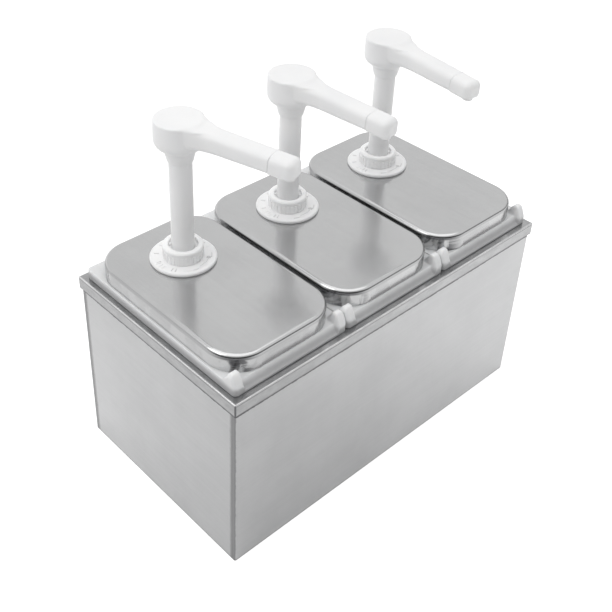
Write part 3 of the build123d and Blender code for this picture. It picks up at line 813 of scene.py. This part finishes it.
def dial_marks(i):
    """Turn-to-lock marks: an arc with two chevrons, and short ticks round the disc."""
    a0 = math.radians(ANGLES[i - 1])
    cx, cy = CELLS[i - 1], PUMP_Y
    z0 = 225.15
    verts, faces = [], []

    def add(points, wide=0.9, high=0.45):
        v, f = bar_along([(cx + x, cy + y) for x, y in points], wide, high, z0)
        base = len(verts)
        verts.extend(v)
        faces.extend([tuple(k + base for k in face) for face in f])

    def ring(r, d0, d1, n):
        return [
            (r * math.sin(math.radians(d) + a0), -r * math.cos(math.radians(d) + a0))
            for d in np.linspace(d0, d1, n)
        ]

    add(ring(23.4, -16, 22, 22))
    add(ring(25.6, -34, -22, 8))
    add(ring(25.6, 26, 40, 8))
    for d in (24, 27.5):
        add([
            (21.4 * math.sin(math.radians(d - 3) + a0), -21.4 * math.cos(math.radians(d - 3) + a0)),
            (23.4 * math.sin(math.radians(d) + a0), -23.4 * math.cos(math.radians(d) + a0)),
            (25.2 * math.sin(math.radians(d - 3) + a0), -25.2 * math.cos(math.radians(d - 3) + a0)),
        ])
    for d in (-78, -70, 78, 88, 150, 180, 210, -118):
        t = math.radians(d) + a0
        add([(r * math.sin(t), -r * math.cos(t)) for r in (22.2, 24.0, 26.6)], 1.0)
    mesh = bpy.data.meshes.new(f"dial_marks_{i}")
    mesh.from_pydata([tuple(c * MM for c in v) for v in verts], [], faces)
    bm = bmesh.new()
    bm.from_mesh(mesh)
    bmesh.ops.recalc_face_normals(bm, faces=bm.faces)
    bm.to_mesh(mesh)
    bm.free()
    obj = bpy.data.objects.new(f"dial_marks_{i}", mesh)
    bpy.context.scene.collection.objects.link(obj)
    mesh.materials.append(MATS["marks"])
    mesh.shade_smooth()
    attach(obj, f"lid_pump_{i}")


for i in (1, 2, 3):
    dial_marks(i)


# ------------------------------------------------------------------ floor, light, camera
FLOOR_GLOW = 0.52


def stage_floor():
    mesh = bpy.data.meshes.new("floor")
    n, half = 24, 6.0
    verts = [(-half + 2 * half * i / n, -half + 2 * half * j / n, 0.0) for j in range(n + 1) for i in range(n + 1)]
    faces = [
        (j * (n + 1) + i, j * (n + 1) + i + 1, (j + 1) * (n + 1) + i + 1, (j + 1) * (n + 1) + i)
        for j in range(n) for i in range(n)
    ]
    mesh.from_pydata(verts, [], faces)
    floor = bpy.data.objects.new("floor", mesh)
    bpy.context.scene.collection.objects.link(floor)
    floor.location = (0, 0, -0.0002)
    mat, t, bsdf, here = material("floor_white")
    slow = t.noise(here, 2.0, 3.0, 0.5)
    t.link(t.tint(slow, (0.56, 0.56, 0.56), (0.58, 0.58, 0.58)), bsdf.inputs["Base Color"])
    bsdf.inputs["Roughness"].default_value = 0.9
    bsdf.inputs["Specular IOR Level"].default_value = 0.0
    bsdf.inputs["Emission Color"].default_value = (1, 1, 1, 1)
    eye = t.add("ShaderNodeLightPath").outputs["Is Camera Ray"]
    # painted shadow: rays other than the camera's see the floor's glow lowered near the object and on its -x side; the
    # camera sees an even glow
    dx = t.add("ShaderNodeVectorMath", {0: here, 1: (0.12, 0.16, 0.0)}, operation="ADD").outputs[0]
    far = t.add("ShaderNodeVectorMath", {0: dx}, operation="LENGTH").outputs["Value"]
    glow_with_painted_shadow = t.span(far, 0.0, 0.42, 0.23, FLOOR_GLOW)
    side = t.add("ShaderNodeSeparateXYZ", {0: here}).outputs[0]
    glow_with_painted_shadow = t.math("MULTIPLY", glow_with_painted_shadow, t.span(side, -0.36, -0.20, 0.56, 1.0))
    t.link(
        t.add("ShaderNodeMix", {"Factor": eye, 2: glow_with_painted_shadow, 3: 0.72}, data_type="FLOAT").outputs[0],
        bsdf.inputs["Emission Strength"],
    )
    mesh.materials.append(mat)


stage_floor()

world = bpy.data.worlds.new("studio")
bpy.context.scene.world = world
world.use_nodes = True
world.node_tree.nodes.clear()
w = Tree(world.node_tree)
w_out = w.add("ShaderNodeOutputWorld")
back = w.add("ShaderNodeBackground")
w.link(back.outputs[0], w_out.inputs[0])
direction = w.add("ShaderNodeTexCoord").outputs["Generated"]
parts = w.add("ShaderNodeSeparateXYZ", {0: direction})


def toward(x, y):
    length = math.hypot(x, y)
    dot = w.add("ShaderNodeVectorMath", {0: direction, 1: (x / length, y / length, 0.0)}, operation="DOT_PRODUCT")
    return dot.outputs["Value"]


front = w.span(toward(-0.674, -0.739), -0.3, 0.75, 0.0, 1.0)
left = w.span(toward(-0.746, 0.666), -0.8, 0.8, 0.0, 1.0)
low = w.add("ShaderNodeMix", {"Factor": left, 2: 0.30, 3: 1.05}, data_type="FLOAT").outputs[0]
low = w.add("ShaderNodeMix", {"Factor": front, 2: low, 3: 0.13}, data_type="FLOAT").outputs[0]
mid = w.add("ShaderNodeMix", {"Factor": front, 2: 0.82, 3: 0.92}, data_type="FLOAT").outputs[0]
edge_low = w.add("ShaderNodeMix", {"Factor": front, 2: 0.12, 3: 0.40}, data_type="FLOAT").outputs[0]
rise = w.math("DIVIDE", w.math("SUBTRACT", parts.outputs[2], edge_low), 0.26, clamp=True)
ring = w.add("ShaderNodeMix", {"Factor": rise, 2: low, 3: mid}, data_type="FLOAT").outputs[0]
high = w.span(parts.outputs[2], 0.55, 0.95, 0.0, 1.0)
glow = w.add("ShaderNodeMix", {"Factor": high, 2: ring, 3: 0.84}, data_type="FLOAT").outputs[0]
top = w.span(parts.outputs[2], 0.80, 0.88, 0.0, 1.0)
glow = w.add("ShaderNodeMix", {"Factor": top, 2: glow, 3: 1.45}, data_type="FLOAT").outputs[0]
w.link(glow, back.inputs["Strength"])
back.inputs["Color"].default_value = (1.0, 1.0, 1.0, 1.0)


def area(name, place, look_at, size, power):
    data = bpy.data.lights.new(name, "AREA")
    data.shape = "RECTANGLE"
    data.size, data.size_y = size
    data.energy = power
    lamp = bpy.data.objects.new(name, data)
    bpy.context.scene.collection.objects.link(lamp)
    lamp.location = place
    lamp.rotation_euler = (Vector(look_at) - Vector(place)).to_track_quat("-Z", "Y").to_euler()
    return lamp


area("key_softbox", (-1.3, 0.35, 1.5), (0, 0, 0.2), (1.2, 0.9), 5.5)

cam_data = bpy.data.cameras.new("camera")
cam_data.sensor_fit = "HORIZONTAL"
cam_data.sensor_width = 36.0
cam_data.lens = 992.32 / 612 * 36
cam_data.shift_x = 0.0774
cam_data.shift_y = -0.1388
cam_data.clip_start, cam_data.clip_end = 0.05, 50
camera = bpy.data.objects.new("camera", cam_data)
bpy.context.scene.collection.objects.link(camera)
right = (0.74577772, -0.66601986, 0.01526880)
up = (0.36399012, 0.42656092, 0.82798368)
behind = (-0.55796665, -0.61193409, 0.56054428)
camera.matrix_world = Matrix(
    (
        (right[0], up[0], behind[0], -0.56564679),
        (right[1], up[1], behind[1], -0.53806229),
        (right[2], up[2], behind[2], 0.75216973),
        (0, 0, 0, 1),
    )
)
bpy.context.scene.camera = camera
bpy.context.scene.view_settings.view_transform = "Standard"
bpy.context.scene.view_settings.look = "None"
